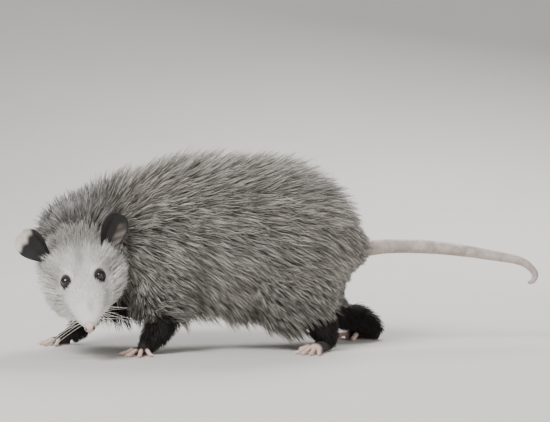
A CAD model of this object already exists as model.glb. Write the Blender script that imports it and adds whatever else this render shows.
"""The looks of a life size Virginia opossum, laid out as an add-on and run as a script.

The animal faces -X with its left side towards -Y, head turned to its left, tail held out behind.
"""

import math

import bmesh
import bpy
import numpy as np
from mathutils import Matrix, Vector
from mathutils.bvhtree import BVHTree
from mathutils.kdtree import KDTree


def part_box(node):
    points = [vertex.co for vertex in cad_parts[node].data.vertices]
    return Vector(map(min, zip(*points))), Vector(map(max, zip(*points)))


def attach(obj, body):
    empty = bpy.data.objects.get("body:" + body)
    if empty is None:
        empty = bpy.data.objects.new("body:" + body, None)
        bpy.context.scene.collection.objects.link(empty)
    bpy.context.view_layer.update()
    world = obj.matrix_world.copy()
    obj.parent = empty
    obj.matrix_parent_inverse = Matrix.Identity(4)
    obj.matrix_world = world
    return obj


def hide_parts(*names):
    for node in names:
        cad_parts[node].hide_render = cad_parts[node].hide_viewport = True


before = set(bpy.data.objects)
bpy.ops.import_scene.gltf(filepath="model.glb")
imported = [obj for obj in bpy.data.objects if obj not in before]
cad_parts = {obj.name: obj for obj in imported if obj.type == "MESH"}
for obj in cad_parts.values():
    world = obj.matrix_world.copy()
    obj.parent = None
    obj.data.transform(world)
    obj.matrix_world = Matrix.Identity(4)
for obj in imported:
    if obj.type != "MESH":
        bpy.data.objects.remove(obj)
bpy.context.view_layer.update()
SIDES = ("left", "right")
X_AXIS, Y_AXIS, Z_AXIS = Vector((1, 0, 0)), Vector((0, 1, 0)), Vector((0, 0, 1))

bl_info = {
    "name": "Opossum",
    "version": (1, 0, 0),
    "blender": (4, 5, 0),
    "location": "View3D > Sidebar > Opossum",
    "description": "Builds a life size Virginia opossum with its coat, and a plain stage for it",
    "category": "Object",
}

# Trunk: rows of x, y, z of the centre, half width, height above and below, and the coat's depth.
TRUNK_ROWS = (
    (-0.254, -0.012, 0.118, 0.018, 0.018, 0.018, 0.010),
    (-0.238, -0.011, 0.119, 0.044, 0.044, 0.044, 0.018),
    (-0.210, -0.009, 0.120, 0.058, 0.060, 0.062, 0.022),
    (-0.160, -0.010, 0.119, 0.066, 0.082, 0.080, 0.025),
    (-0.110, -0.009, 0.119, 0.071, 0.096, 0.086, 0.027),
    (-0.055, -0.003, 0.118, 0.075, 0.099, 0.088, 0.028),
    (0.000, 0.004, 0.112, 0.079, 0.101, 0.084, 0.028),
    (0.040, 0.011, 0.105, 0.074, 0.091, 0.076, 0.027),
    (0.070, 0.017, 0.103, 0.056, 0.068, 0.054, 0.025),
    (0.092, 0.021, 0.105, 0.032, 0.038, 0.030, 0.018),
    (0.103, 0.023, 0.106, 0.012, 0.012, 0.012, 0.005),
)
# Near shoulder, far shoulder, near haunch, belly, breast and far thigh: centres and radii out to
# the hair ends, and the depth of the coat on them.
LIMB_MASSES = (
    ((-0.126, -0.038, 0.078), (0.044, 0.036, 0.056)),
    ((-0.150, 0.020, 0.084), (0.042, 0.034, 0.052)),
    ((0.018, -0.030, 0.066), (0.064, 0.044, 0.056)),
    ((-0.030, -0.012, 0.070), (0.060, 0.046, 0.043)),
    ((-0.166, -0.010, 0.070), (0.040, 0.040, 0.046)),
    ((0.045, 0.044, 0.068), (0.050, 0.036, 0.050)),
)
MASS_DEPTH = 0.018

# Head frame: X to the left ear, Y back from the nose's tip, Z up.
HEAD_TURN, HEAD_ROLL, HEAD_PITCH = math.radians(3.0), math.radians(-10.5), math.radians(40.0)
EYES_MIDDLE = Vector((-0.2010, -0.1020, 0.0835))
EYE_BACK, EYE_UP, EYE_APART, EYE_RADIUS = 0.060, 0.014, 0.0175, 0.0056
BALL_GAP, LID_WALL = 0.00005, 0.0011
# Rows of a head form: back, height of the centre, half width, height above and below.
SKULL_ROWS = (
    (0.003, 0.0003, 0.0046, 0.0036, 0.0040),
    (0.012, 0.0008, 0.0106, 0.0064, 0.0072),
    (0.024, 0.0014, 0.0160, 0.0096, 0.0104),
    (0.038, 0.0022, 0.0198, 0.0128, 0.0134),
    (0.050, 0.0034, 0.0217, 0.0164, 0.0158),
    (0.062, 0.0046, 0.0248, 0.0196, 0.0188),
    (0.078, 0.0056, 0.0298, 0.0226, 0.0220),
    (0.096, 0.0060, 0.0318, 0.0240, 0.0236),
    (0.112, 0.0064, 0.0288, 0.0228, 0.0220),
    (0.126, 0.0070, 0.0204, 0.0166, 0.0160),
    (0.134, 0.0080, 0.0070, 0.0060, 0.0060),
)
CHEEK_ROWS = (
    (0.026, -0.0070, 0.0140, 0.0065, 0.0075),
    (0.036, -0.0085, 0.0210, 0.0110, 0.0100),
    (0.048, -0.0095, 0.0280, 0.0150, 0.0140),
    (0.062, -0.0090, 0.0330, 0.0180, 0.0175),
    (0.078, -0.0065, 0.0365, 0.0210, 0.0210),
    (0.096, -0.0040, 0.0370, 0.0250, 0.0230),
    (0.112, -0.0000, 0.0325, 0.0220, 0.0215),
    (0.124, 0.0040, 0.0230, 0.0150, 0.0150),
    (0.131, 0.0060, 0.0100, 0.0070, 0.0070),
)
# Fills the dip between the skull and the cheeks, so that the face is one smooth shield.
FACE_ROWS = (
    (0.030, -0.0030, 0.0165, 0.0080, 0.0070),
    (0.045, -0.0030, 0.0235, 0.0105, 0.0090),
    (0.062, -0.0020, 0.0310, 0.0125, 0.0110),
    (0.078, -0.0010, 0.0355, 0.0150, 0.0130),
    (0.096, 0.0010, 0.0365, 0.0180, 0.0150),
    (0.112, 0.0030, 0.0320, 0.0160, 0.0140),
    (0.124, 0.0050, 0.0220, 0.0110, 0.0110),
)
JAW_ROWS = (
    (0.009, -0.0068, 0.0032, 0.0026, 0.0026),
    (0.014, -0.0084, 0.0056, 0.0040, 0.0036),
    (0.028, -0.0108, 0.0082, 0.0058, 0.0050),
    (0.044, -0.0134, 0.0118, 0.0078, 0.0060),
    (0.060, -0.0150, 0.0170, 0.0088, 0.0070),
    (0.076, -0.0150, 0.0190, 0.0080, 0.0070),
    (0.092, -0.0130, 0.0120, 0.0060, 0.0050),
)
NOSE_ROWS = (
    (-0.0034, 0.0006, 0.0014, 0.0011, 0.0012),
    (-0.0028, 0.0006, 0.0032, 0.0026, 0.0026),
    (-0.0010, 0.0006, 0.0052, 0.0040, 0.0040),
    (0.0018, 0.0008, 0.0060, 0.0048, 0.0047),
    (0.0050, 0.0010, 0.0056, 0.0044, 0.0043),
    (0.0084, 0.0010, 0.0046, 0.0034, 0.0034),
    (0.0104, 0.0010, 0.0020, 0.0016, 0.0014),
)
EAR_ROOT = Vector((0.0310, 0.0900, 0.0190))
# Ears: how far the fur hides the root, the length and half width that show, and the way they stand.
EARS = {
    "left": (
        Vector((-0.0033, 0, 0.0038)),
        0.0385,
        0.0154,
        Vector((0.37, 0.02, 0.93)),
        Vector((0.42, -0.88, 0.10)),
    ),
    "right": (
        Vector((-0.0064, 0, 0.0066)),
        0.0352,
        0.0175,
        Vector((-0.71, -0.02, 0.71)),
        Vector((-0.20, -0.95, -0.10)),
    ),
}
EAR_WALL = 0.0009

# Tail: rows of x, y, z and radius.
TAIL_ROWS = (
    (0.078, 0.018, 0.1040, 0.0094),
    (0.100, 0.023, 0.1065, 0.0086),
    (0.130, 0.027, 0.1090, 0.0079),
    (0.168, 0.032, 0.1080, 0.0076),
    (0.206, 0.037, 0.1040, 0.0068),
    (0.246, 0.041, 0.0975, 0.0058),
    (0.272, 0.043, 0.0925, 0.0050),
    (0.2855, 0.0435, 0.0860, 0.0043),
    (0.2930, 0.0435, 0.0765, 0.0037),
    (0.2908, 0.0430, 0.0690, 0.0030),
    (0.2855, 0.0425, 0.0668, 0.0020),
)

# Legs: rows of x, y, z and radius of the skin from inside the body to the wrist or the heel.
LEGS = {
    "foreleg_left": (
        (-0.116, -0.030, 0.084, 0.0150),
        (-0.117, -0.041, 0.055, 0.0145),
        (-0.123, -0.055, 0.031, 0.0122),
        (-0.133, -0.066, 0.014, 0.0084),
        (-0.138, -0.071, 0.007, 0.0066),
    ),
    "foreleg_right": (
        (-0.156, 0.018, 0.082, 0.0160),
        (-0.190, 0.018, 0.056, 0.0130),
        (-0.208, 0.018, 0.036, 0.0100),
        (-0.2190, 0.018, 0.018, 0.0080),
        (-0.2280, 0.0175, 0.009, 0.0070),
    ),
    "hindleg_left": (
        (0.030, -0.028, 0.068, 0.0190),
        (0.043, -0.034, 0.043, 0.0150),
        (0.052, -0.038, 0.024, 0.0115),
        (0.055, -0.037, 0.014, 0.0090),
        (0.056, -0.038, 0.007, 0.0072),
    ),
    "hindleg_right": (
        (0.050, 0.046, 0.056, 0.0200),
        (0.074, 0.054, 0.032, 0.0130),
        (0.093, 0.059, 0.026, 0.0112),
        (0.109, 0.063, 0.016, 0.0088),
        (0.114, 0.064, 0.008, 0.0068),
    ),
}
# Paws: the palm's or sole's middle on the floor and the way it points, then the spread in degrees
# and the length of each digit.
PAWS = {
    "forepaw_left": (Vector((-0.1410, -0.0745, 0.0)), math.radians(-124.0)),
    "forepaw_right": (Vector((-0.2380, 0.0170, 0.0)), math.radians(-165.0)),
    "hindpaw_left": (Vector((0.0500, -0.0480, 0.0)), math.radians(-117.0)),
    "hindpaw_right": (Vector((0.1000, 0.0660, 0.0)), math.radians(168.0)),
}
FINGERS = tuple(zip((-68, -34, -2, 30, 64), (0.0125, 0.0155, 0.0165, 0.0160, 0.0130)))
TOES = tuple(zip((-26, -9, 8, 25), (0.0170, 0.0190, 0.0185, 0.0160)))
DIGIT_RADIUS, THUMB_RADIUS = 0.0024, 0.0030
# Sole: rows of place along its half length, radius and height of the centre.
SOLE_HALF = 0.020
SOLE_ROWS = (
    (-0.98, 0.0052, 0.0052),
    (-0.72, 0.0068, 0.0066),
    (-0.2, 0.0064, 0.0068),
    (0.3, 0.0070, 0.0066),
    (0.7, 0.0074, 0.0050),
    (0.98, 0.0050, 0.0040),
)
# Size of the grid that fuses each form.
BODY_GRID, HEAD_GRID, PAW_GRID = 0.0022, 0.0010, 0.00075
# Tufts: how near the skin a root has to be, how deep it sits and how far hair stays off the floor.
ON_SKIN, ROOT_DEPTH, FLOOR_GAP, WHISKER_GAP = 0.00045, 0.0010, 0.0014, 0.0015
# The size of one tuft on the chart and the most triangles in one piece.
TUFT_PATCH, PIECE_TRIANGLES = 0.003, 190000


def design_shift():
    """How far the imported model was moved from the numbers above."""
    low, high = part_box("eye_left")
    return (low + high) / 2 - eye_centre("left")


def linear(code):
    """An sRGB hex code as linear red, green and blue."""
    channels = (int(code[i : i + 2], 16) / 255 for i in (0, 2, 4))
    return tuple(c / 12.92 if c <= 0.04045 else ((c + 0.055) / 1.055) ** 2.4 for c in channels)


def smooth_rows(rows, count):
    """The rows read at evenly spaced places along a smooth curve through them."""
    table = np.array(rows, float)
    slopes = np.gradient(table, axis=0)
    places = np.linspace(0, len(table) - 1, count)
    index = np.minimum(places.astype(int), len(table) - 2)
    t = (places - index)[:, None]
    a, b, m, n = table[index], table[index + 1], slopes[index], slopes[index + 1]
    return (
        a * (1 + 2 * t) * (1 - t) ** 2
        + m * t * (1 - t) ** 2
        + b * t * t * (3 - 2 * t)
        - n * t * t * (1 - t)
    )


def ease(value, low, high):
    """0 below low, 1 above high and smooth between, for numbers and arrays."""
    t = np.clip((np.asarray(value, float) - low) / (high - low), 0.0, 1.0)
    return t * t * (3 - 2 * t)


def unit(rows):
    """Rows brought to length 1."""
    return rows / np.maximum(np.linalg.norm(rows, axis=-1, keepdims=True), 1e-12)


def swell(points, centre, size, stretch=(1, 1, 1)):
    """1 at a centre, fading with the distance over a size."""
    away = np.linalg.norm((points - centre) / stretch, axis=1)
    return np.exp(-((away / size) ** 2))


def way_of(angle):
    """The level direction at an angle round the upright."""
    return Vector((math.cos(angle), math.sin(angle), 0))


def head_matrix():
    """The head's own frame in the model's frame."""
    turn = (
        Matrix.Rotation(HEAD_TURN, 4, "Z")
        @ Matrix.Rotation(HEAD_ROLL, 4, "Y")
        @ Matrix.Rotation(HEAD_PITCH, 4, "X")
    )
    return Matrix.Translation(EYES_MIDDLE - turn @ Vector((0, EYE_BACK, EYE_UP))) @ turn


def side_sign(side):
    """1 for the left side and -1 for the right, along the head's X."""
    return 1.0 if side == "left" else -1.0


def eye_at(side):
    """An eye's centre in the head's own frame."""
    return EYE_APART * side_sign(side), EYE_BACK, EYE_UP


def eye_centre(side):
    """An eye's centre in the model's frame."""
    return head_matrix() @ Vector(eye_at(side))


def ear_root(side):
    """An ear's root in the head's own frame, under the fur."""
    return Vector((EAR_ROOT.x * side_sign(side), EAR_ROOT.y, EAR_ROOT.z))


def gaze(side):
    """The way an eye looks out, in the head's own frame."""
    return Vector((0.50 * side_sign(side), -0.65, 0.57)).normalized()


def to_head(points):
    """Points as rows in the head's own frame."""
    back = np.array(head_matrix().inverted())
    return points @ back[:3, :3].T + back[:3, 3]


def from_head(vectors):
    """Directions of the head's frame as rows in the model's frame."""
    return vectors @ np.array(head_matrix())[:3, :3].T


def show(name, mesh):
    """A mesh as an object of the scene."""
    obj = bpy.data.objects.new(name, mesh)
    bpy.context.scene.collection.objects.link(obj)
    return obj


def closed_solid(name, verts, faces):
    """A closed surface as an object, with its faces turned outwards."""
    mesh = bpy.data.meshes.new(name)
    mesh.from_pydata([tuple(v) for v in verts], [], faces)
    work = bmesh.new()
    work.from_mesh(mesh)
    bmesh.ops.recalc_face_normals(work, faces=work.faces)
    work.to_mesh(mesh)
    work.free()
    return show(name, mesh)


def skin_rings(name, rings):
    """A closed mesh object through rings of equal point count."""
    count = len(rings[0])
    verts = [p for ring in rings for p in ring]
    faces = []
    for r in range(len(rings) - 1):
        for i in range(count):
            j = (i + 1) % count
            a, b = r * count, (r + 1) * count
            faces.append((a + i, b + i, b + j, a + j))
    first, last = len(verts), len(verts) + 1
    verts += [sum(rings[0], Vector()) / count, sum(rings[-1], Vector()) / count]
    end = (len(rings) - 1) * count
    for i in range(count):
        j = (i + 1) % count
        faces.append((i, j, first))
        faces.append((end + j, end + i, last))
    return closed_solid(name, verts, faces)


def oval(centre, across, upright, width, above, below, sides):
    """A ring of points, as high above its centre and as deep below it as asked."""
    points = []
    for i in range(sides):
        angle = 2 * math.pi * i / sides
        rise = math.sin(angle)
        height = (above if rise > 0 else below) * rise
        points.append(centre + across * (width * math.cos(angle)) + upright * height)
    return points


def tube_rings(rows, rings, sides):
    """Round rings along rows of x, y, z and radius."""
    table = smooth_rows(rows, rings)
    centres = [Vector(row[:3]) for row in table]
    loops, across = [], None
    for i, (centre, row) in enumerate(zip(centres, table)):
        along = (centres[min(i + 1, rings - 1)] - centres[max(i - 1, 0)]).normalized()
        if across is None:
            across = along.orthogonal().normalized()
        across = (across - along * across.dot(along)).normalized()
        loops.append(oval(centre, across, along.cross(across), row[3], row[3], row[3], sides))
    return loops


def tube(name, rows, rings=24, sides=20):
    """A closed tube along rows of x, y, z and radius."""
    return skin_rings(name, tube_rings(rows, rings, sides))


def head_loft(name, rows, rings=48, sides=48):
    """A closed form through rows in the head's own frame."""
    place = head_matrix()
    loops = []
    for back, height, width, above, below in smooth_rows(rows, rings):
        ring = oval(Vector((0, back, height)), X_AXIS, Z_AXIS, width, above, below, sides)
        loops.append([place @ p for p in ring])
    return skin_rings(name, loops)


def ellipsoid(name, centre, radii, sides=32, rings=20):
    """A ball stretched to three radii."""
    mesh = bpy.data.meshes.new(name)
    work = bmesh.new()
    bmesh.ops.create_uvsphere(work, u_segments=sides, v_segments=rings, radius=1.0)
    place = Matrix.Translation(centre) @ Matrix.Diagonal((*radii, 1.0))
    bmesh.ops.transform(work, matrix=place, verts=work.verts)
    work.to_mesh(mesh)
    work.free()
    return show(name, mesh)


def apply_modifiers(obj):
    """Makes what the object's modifiers show its own mesh."""
    bpy.context.view_layer.update()
    graph = bpy.context.evaluated_depsgraph_get()
    mesh = bpy.data.meshes.new_from_object(obj.evaluated_get(graph))
    obj.modifiers.clear()
    obj.data = mesh


def join(name, parts):
    """The parts' meshes as one object, with the parts removed."""
    work = bmesh.new()
    for part in parts:
        work.from_mesh(part.data)
        bpy.data.objects.remove(part)
    mesh = bpy.data.meshes.new(name)
    work.to_mesh(mesh)
    work.free()
    return show(name, mesh)


def melt(name, parts, voxel, rounds):
    """One smooth closed skin over overlapping parts."""
    obj = join(name, parts)
    grid = obj.modifiers.new("melt", "REMESH")
    grid.mode = "VOXEL"
    grid.voxel_size = voxel
    soft = obj.modifiers.new("soft", "SMOOTH")
    soft.factor = 0.5
    soft.iterations = rounds
    apply_modifiers(obj)
    return obj


def read(obj):
    """Vertices, triangles and vertex normals of an object's mesh as arrays."""
    mesh = obj.data
    mesh.calc_loop_triangles()
    verts = np.empty(len(mesh.vertices) * 3)
    mesh.vertices.foreach_get("co", verts)
    tris = np.empty(len(mesh.loop_triangles) * 3, np.int32)
    mesh.loop_triangles.foreach_get("vertices", tris)
    normals = np.empty(len(mesh.vertices) * 3, np.float32)
    mesh.vertex_normals.foreach_get("vector", normals)
    return verts.reshape(-1, 3), tris.reshape(-1, 3), normals.reshape(-1, 3).astype(float)


def write(obj, verts):
    """Moves an object's vertices to new places."""
    obj.data.vertices.foreach_set("co", verts.astype(np.float32).ravel())
    obj.data.update()


def paint(obj, colours):
    """A colour for each vertex, kept in the attribute that the materials read."""
    layer = obj.data.color_attributes.new("Tint", "FLOAT_COLOR", "POINT")
    values = np.ones((len(obj.data.vertices), 4), np.float32)
    values[:, :3] = colours
    layer.data.foreach_set("color", values.ravel())


# ---- sources of the skin: body, head and paws ----


def body_source():
    """Trunk, shoulders, thighs, neck and legs under the coat."""
    rings = []
    for x, y, z, *reach, depth in smooth_rows(TRUNK_ROWS, 44):
        reach = [max(r - depth, 0.002) for r in reach]
        rings.append(oval(Vector((x, y, z)), Y_AXIS, Z_AXIS, *reach, 40))
    parts = [skin_rings("trunk", rings)]
    for i, (centre, radii) in enumerate(LIMB_MASSES):
        parts.append(ellipsoid(f"mass_{i}", Vector(centre), [r - MASS_DEPTH for r in radii]))
    occiput = head_matrix() @ Vector((0, 0.112, 0.004))
    neck = (
        (-0.150, -0.006, 0.118, 0.050),
        (-0.190, -0.014, 0.121, 0.042),
        (*((occiput + Vector((-0.205, -0.018, 0.122))) / 2), 0.034),
        (*occiput, 0.028),
    )
    parts.append(tube("neck", neck, 20, 32))
    for name, rows in LEGS.items():
        parts.append(tube(name, rows))
    return melt("body", parts, BODY_GRID, 8)


def head_source():
    """Skull, cheeks and jaw, then lids, brows, snout and the line of the mouth."""
    rows = {"skull": SKULL_ROWS, "cheeks": CHEEK_ROWS, "face": FACE_ROWS, "jaw": JAW_ROWS}
    obj = melt("head", [head_loft(*item) for item in rows.items()], HEAD_GRID, 16)
    verts, _, normals = read(obj)
    local = to_head(verts)
    push = np.zeros(len(verts))
    for side in SIDES:
        sign = side_sign(side)
        eye = np.array(eye_at(side)) + 0.0052 * np.array(gaze(side))
        push -= 0.0016 * swell(local, eye, 0.0075)
        brow = eye + np.array((-0.0015 * sign, 0.0070, 0.0060))
        push += 0.0012 * swell(local, brow, 0.0060)
        whisker_pad = np.array((0.0085 * sign, 0.0150, -0.0040))
        push += 0.0009 * swell(local, whisker_pad, 0.0055, (1, 1.6, 1))
    x, y, z = local.T
    lip = -0.0046 - 0.10 * np.clip(y, 0, 0.05)
    mouth = np.exp(-(((z - lip) / 0.0009) ** 2)) * (1 - ease(y, 0.040, 0.047)) * ease(y, 0.003, 0.008)
    push -= 0.0011 * mouth * ease(np.abs(x), 0.0005, 0.003)
    write(obj, verts + normals * push[:, None])
    for side in SIDES:
        ball = ellipsoid("socket", eye_centre(side), (EYE_RADIUS + 0.0001,) * 3, 48, 32)
        cut(obj, ball, "DIFFERENCE")
        cut(obj, lid_ring(side), "UNION")
    return obj


def cut(obj, tool, operation):
    """One Boolean with another object, which is then removed."""
    step = obj.modifiers.new("cut", "BOOLEAN")
    step.operation = operation
    step.solver = "MANIFOLD"
    step.object = tool
    apply_modifiers(obj)
    bpy.data.objects.remove(tool)


def lid_ring(side):
    """Both lids of one eye: a thin sleeve over the ball with an almond opening and a soft rim."""
    turn = head_matrix().to_3x3()
    out = turn @ gaze(side)
    up = turn @ Z_AXIS
    upright = (up - out * up.dot(out)).normalized()
    across = out.cross(upright)
    centre = eye_centre(side)
    inner, outer = EYE_RADIUS + BALL_GAP, EYE_RADIUS + LID_WALL
    count, sleeve = 56, math.radians(42.0)
    verts = []
    for i in range(count):
        angle = 2 * math.pi * i / count
        ray = across * math.cos(angle) + upright * math.sin(angle)
        # The lower lid lies 4 degrees lower, and the corners reach 15 degrees further round.
        corner = abs(math.cos(angle)) ** 5
        opening = math.radians(50.0 + (4.0 if math.sin(angle) < 0 else 0.0) + 15.0 * corner)
        profile = [(opening + share * sleeve, inner) for share in (1.0, 0.66, 0.33, 0.0)]
        profile.append((opening - math.radians(3.0), (inner + outer) / 2 - 0.0002))
        profile.append((opening - math.radians(1.5), outer - 0.00045))
        profile += [(opening + share * sleeve, outer) for share in (0.08, 0.33, 0.66, 1.0)]
        verts += [centre + out * (math.cos(a) * r) + ray * (math.sin(a) * r) for a, r in profile]
    rim = len(profile)
    faces = []
    for i in range(count):
        a, b = i * rim, ((i + 1) % count) * rim
        for k in range(rim):
            faces.append((a + k, b + k, b + (k + 1) % rim, a + (k + 1) % rim))
    return closed_solid("lid", verts, faces)


def digit_solid(root, angle, length, radius):
    """A finger or toe with two knuckles and a round pad that meets the floor."""
    way = way_of(angle)
    start = root - way * 0.006 + Z_AXIS * 0.0050
    rows = [(*start, radius * 1.05), (*(root + Z_AXIS * 0.0058), radius * 1.00)]
    for share, rise, girth in (
        (0.30, 0.0034, 0.90),
        (0.52, 0.0022, 0.98),
        (0.76, 0.0006, 0.86),
        (0.95, -0.0003, 1.02),
    ):
        at = root + way * (length * share) + Z_AXIS * (radius + rise)
        rows.append((*at, radius * girth))
    tip = root + way * (length + 0.0014) + Z_AXIS * (radius - 0.0001)
    return tube("digit", [*rows, (*tip, radius * 0.50)], 22, 14)


def claw(root, angle, length, radius):
    """A short curved claw that leaves the top of the digit's tip."""
    way = way_of(angle)
    base = root + way * length + Z_AXIS * (radius + 0.0006)
    rows = []
    for t in np.linspace(0, 1, 9):
        drop = 0.0006 * math.sin(t * 2.2) - 0.0020 * t * t
        at = base + way * (-0.0018 + 0.0072 * t) + Z_AXIS * drop
        rows.append((*at, 0.00105 * (1 - t) ** 0.7 + 0.00012))
    return tube("claw", rows, 9, 8)


def paw_layout(name):
    """Roots, headings, lengths and radii of a paw's digits, and whether each has a claw."""
    at, heading = PAWS[name]
    way = way_of(heading)
    cross = Vector((-way.y, way.x, 0))
    digits = []
    fore = name.startswith("fore")
    for spread, length in FINGERS if fore else TOES:
        angle = heading + math.radians(spread)
        out = way_of(angle)
        if fore:
            root = at + out * 0.007
        else:
            root = at + way * 0.016 + cross * math.sin(math.radians(spread)) * 0.012 + out * 0.001
        digits.append((root, angle, length, DIGIT_RADIUS, True))
    if not fore:
        inward = -side_sign(name.split("_")[1])
        root = at + way * 0.005 + cross * inward * 0.005
        digits.append((root, heading + math.radians(82) * inward, 0.0170, THUMB_RADIUS, False))
    return digits


def paw_source(name):
    """Palm or sole with its pads and digits."""
    at, heading = PAWS[name]
    turn = Matrix.Rotation(heading, 4, "Z")
    place = Matrix.Translation(at) @ turn
    joint = LEGS[name.replace("paw", "leg")][3][:3]
    parts = [digit_solid(*digit[:4]) for digit in paw_layout(name)]
    if name.startswith("fore"):
        palm = ellipsoid("palm", Vector((0, 0, 0.0030)), (0.0100, 0.0088, 0.0076))
        palm.data.transform(place)
        wrist = ((*(at + Vector((0, 0, 0.006))), 0.0066), (*joint, 0.0072))
        parts += [palm, tube("wrist", wrist, 8, 16)]
        pads = ((0.0040, 0.0045), (0.0040, -0.0045), (-0.0050, 0.0038), (-0.0050, -0.0038))
    else:
        rows = [(share * SOLE_HALF, 0.0, rise, radius) for share, radius, rise in SOLE_ROWS]
        sole = tube("sole", rows, 26, 20)
        sole.data.transform(place @ Matrix.Diagonal((1.0, 1.12, 0.86, 1.0)))
        heel = at + turn.to_3x3() @ Vector((-0.012, 0, 0.006))
        parts += [sole, tube("ankle", ((*heel, 0.0070), (*joint, 0.0086)), 8, 16)]
        pads = ((0.0150, 0.0052), (0.0150, -0.0052), (0.0060, 0.0052), (-0.0120, 0.0))
    for along, across in pads:
        pad = ellipsoid("pad", Vector((along, across, 0.0022)), (0.0036, 0.0032, 0.0024), 16, 10)
        pad.data.transform(place)
        parts.append(pad)
    obj = melt(name, parts, PAW_GRID, 3)
    # What would lie under the floor is pressed flat on it.
    verts, _, _ = read(obj)
    z = verts[:, 2]
    z = np.where(z < 0.0002, 0.0002 + (z - 0.0002) * 0.08, z)
    verts[:, 2] = np.maximum(z, 0.0)
    write(obj, verts)
    return obj


# What shapes() has made, kept between the operators of one run.
SHAPES = {}


def tree_over(verts, tris):
    """A surface's triangles, ready for finding the nearest."""
    return BVHTree.FromPolygons([tuple(v) for v in verts], [tuple(t) for t in tris])


def shapes():
    """The forms that the skin is fused from, as arrays, and the skin itself, made once."""
    if SHAPES:
        return SHAPES
    sources = {"body": body_source(), "head": head_source()}
    sources.update((name, paw_source(name)) for name in PAWS)
    for name, obj in sources.items():
        SHAPES[name] = read(obj)
    skin = sources.pop("body")
    for obj in sources.values():
        cut(skin, obj, "UNION")
    SHAPES["skin"] = skin
    SHAPES["tree"] = tree_over(*read(skin)[:2])
    return SHAPES


def distances(tree, points):
    """How far each point is from a surface."""
    return np.array([tree.find_nearest(Vector(p))[3] for p in points])


# ---- markings, the same for the skin and for the coat ----


def mix(a, b, share):
    """Between two colours or rows of colours."""
    share = np.asarray(share, float)[..., None]
    return np.asarray(a) * (1 - share) + np.asarray(b) * share


def settings():
    """The coat's sizes and the colours, as they stand in the sidebar."""
    return bpy.context.scene.opossum_coat, bpy.context.scene.opossum_colours


def plain(tint, count):
    """One colour for each of many places."""
    return np.tile(np.array(tint), (count, 1))


def face_tint(local):
    """The white face with its dark eye rings, faint forehead streak and grey crown."""
    _, colours = settings()
    x, y, z = local.T
    white = np.array(colours.face)
    tint = np.tile(white, (len(local), 1))
    streak = (
        np.exp(-((x / 0.0042) ** 2))
        * ease(y, 0.060, 0.074)
        * (1 - ease(y, 0.086, 0.100))
        * ease(z, 0.002, 0.010)
    )
    tint = mix(tint, white * 0.42, 0.60 * streak)
    crown = ease(y, 0.080, 0.102) * ease(z, -0.002, 0.012) * (1 - 0.5 * ease(np.abs(x), 0.022, 0.032))
    tint = mix(tint, np.array(colours.guard_middle) * 0.9, 0.80 * crown)
    snout = np.exp(-(((y - 0.022) / 0.006) ** 2 + ((x - 0.004) / 0.0035) ** 2)) * ease(z, 0.002, 0.006)
    tint = mix(tint, white * 0.35, 0.5 * snout)
    for side in SIDES:
        sign = side_sign(side)
        offset = local - np.array(eye_at(side)) - 0.003 * np.array(gaze(side))
        away = np.linalg.norm(offset / (1.0, 1.15, 1.0), axis=1)
        tint = mix(tint, colours.eye_ring, 1 - ease(away, 0.0066, 0.0098))
        behind = offset - np.array((0.006 * sign, 0.012, 0.004))
        away = np.linalg.norm(behind / (1.0, 1.5, 0.7), axis=1)
        tint = mix(tint, white * 0.42, 0.45 * (1 - ease(away, 0.002, 0.009)))
        # A greyer band from behind the eye to the ear.
        start, end = np.array((0.024 * sign, 0.066, 0.010)), np.array((0.033 * sign, 0.086, 0.010))
        t = np.clip((local - start) @ (end - start) / ((end - start) @ (end - start)), 0, 1)
        band = np.linalg.norm(local - start - t[:, None] * (end - start), axis=1)
        tint = mix(tint, white * 0.40, 0.34 * (1 - ease(band, 0.002, 0.008)))
        root = np.array(ear_root(side), float) - (0, 0.003, 0)
        near = np.linalg.norm(local - root, axis=1)
        tint = mix(tint, colours.leg, 0.3 * (1 - ease(near, 0.005, 0.009)))
    return tint


def far_jowl(local):
    """The loose fur under the right cheek that shows beside the snout."""
    x, y, z = local.T
    under = ease(-x, 0.004, 0.014) * ease(-z, -0.004, 0.008)
    return under * ease(y, 0.020, 0.034) * (1 - 0.4 * ease(y, 0.070, 0.090))


def fluff(local):
    """Where the head's fur is long: the cheeks, the throat, the crown and round the ears."""
    x, y, z = local.T
    cheek = ease(np.abs(x), 0.014, 0.025) * ease(y, 0.034, 0.056) * ease(-z, -0.020, -0.004)
    cheek = np.maximum(cheek, far_jowl(local))
    throat = ease(-z, 0.009, 0.018) * ease(y, 0.032, 0.054)
    crown = ease(y, 0.076, 0.102) * ease(z, -0.010, 0.004)
    temple = np.zeros(len(local))
    for side in SIDES:
        root = np.array(ear_root(side), float) - (0, 0.004, 0)
        near = 1 - ease(np.linalg.norm(local - root, axis=1), 0.010, 0.020)
        temple = np.maximum(temple, near)
    return cheek, throat, crown, temple


def leg_share(points):
    """How much of a leg a place on the body is: 0 on the trunk and 1 on the lower leg."""
    best = np.full(len(points), 9.0)
    for rows in LEGS.values():
        for row in smooth_rows(rows, 16):
            best = np.minimum(best, np.linalg.norm(points - row[:3], axis=1) / row[3])
    return (1 - ease(points[:, 2], 0.032, 0.048)) * (1 - ease(best, 1.35, 1.9))


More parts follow.
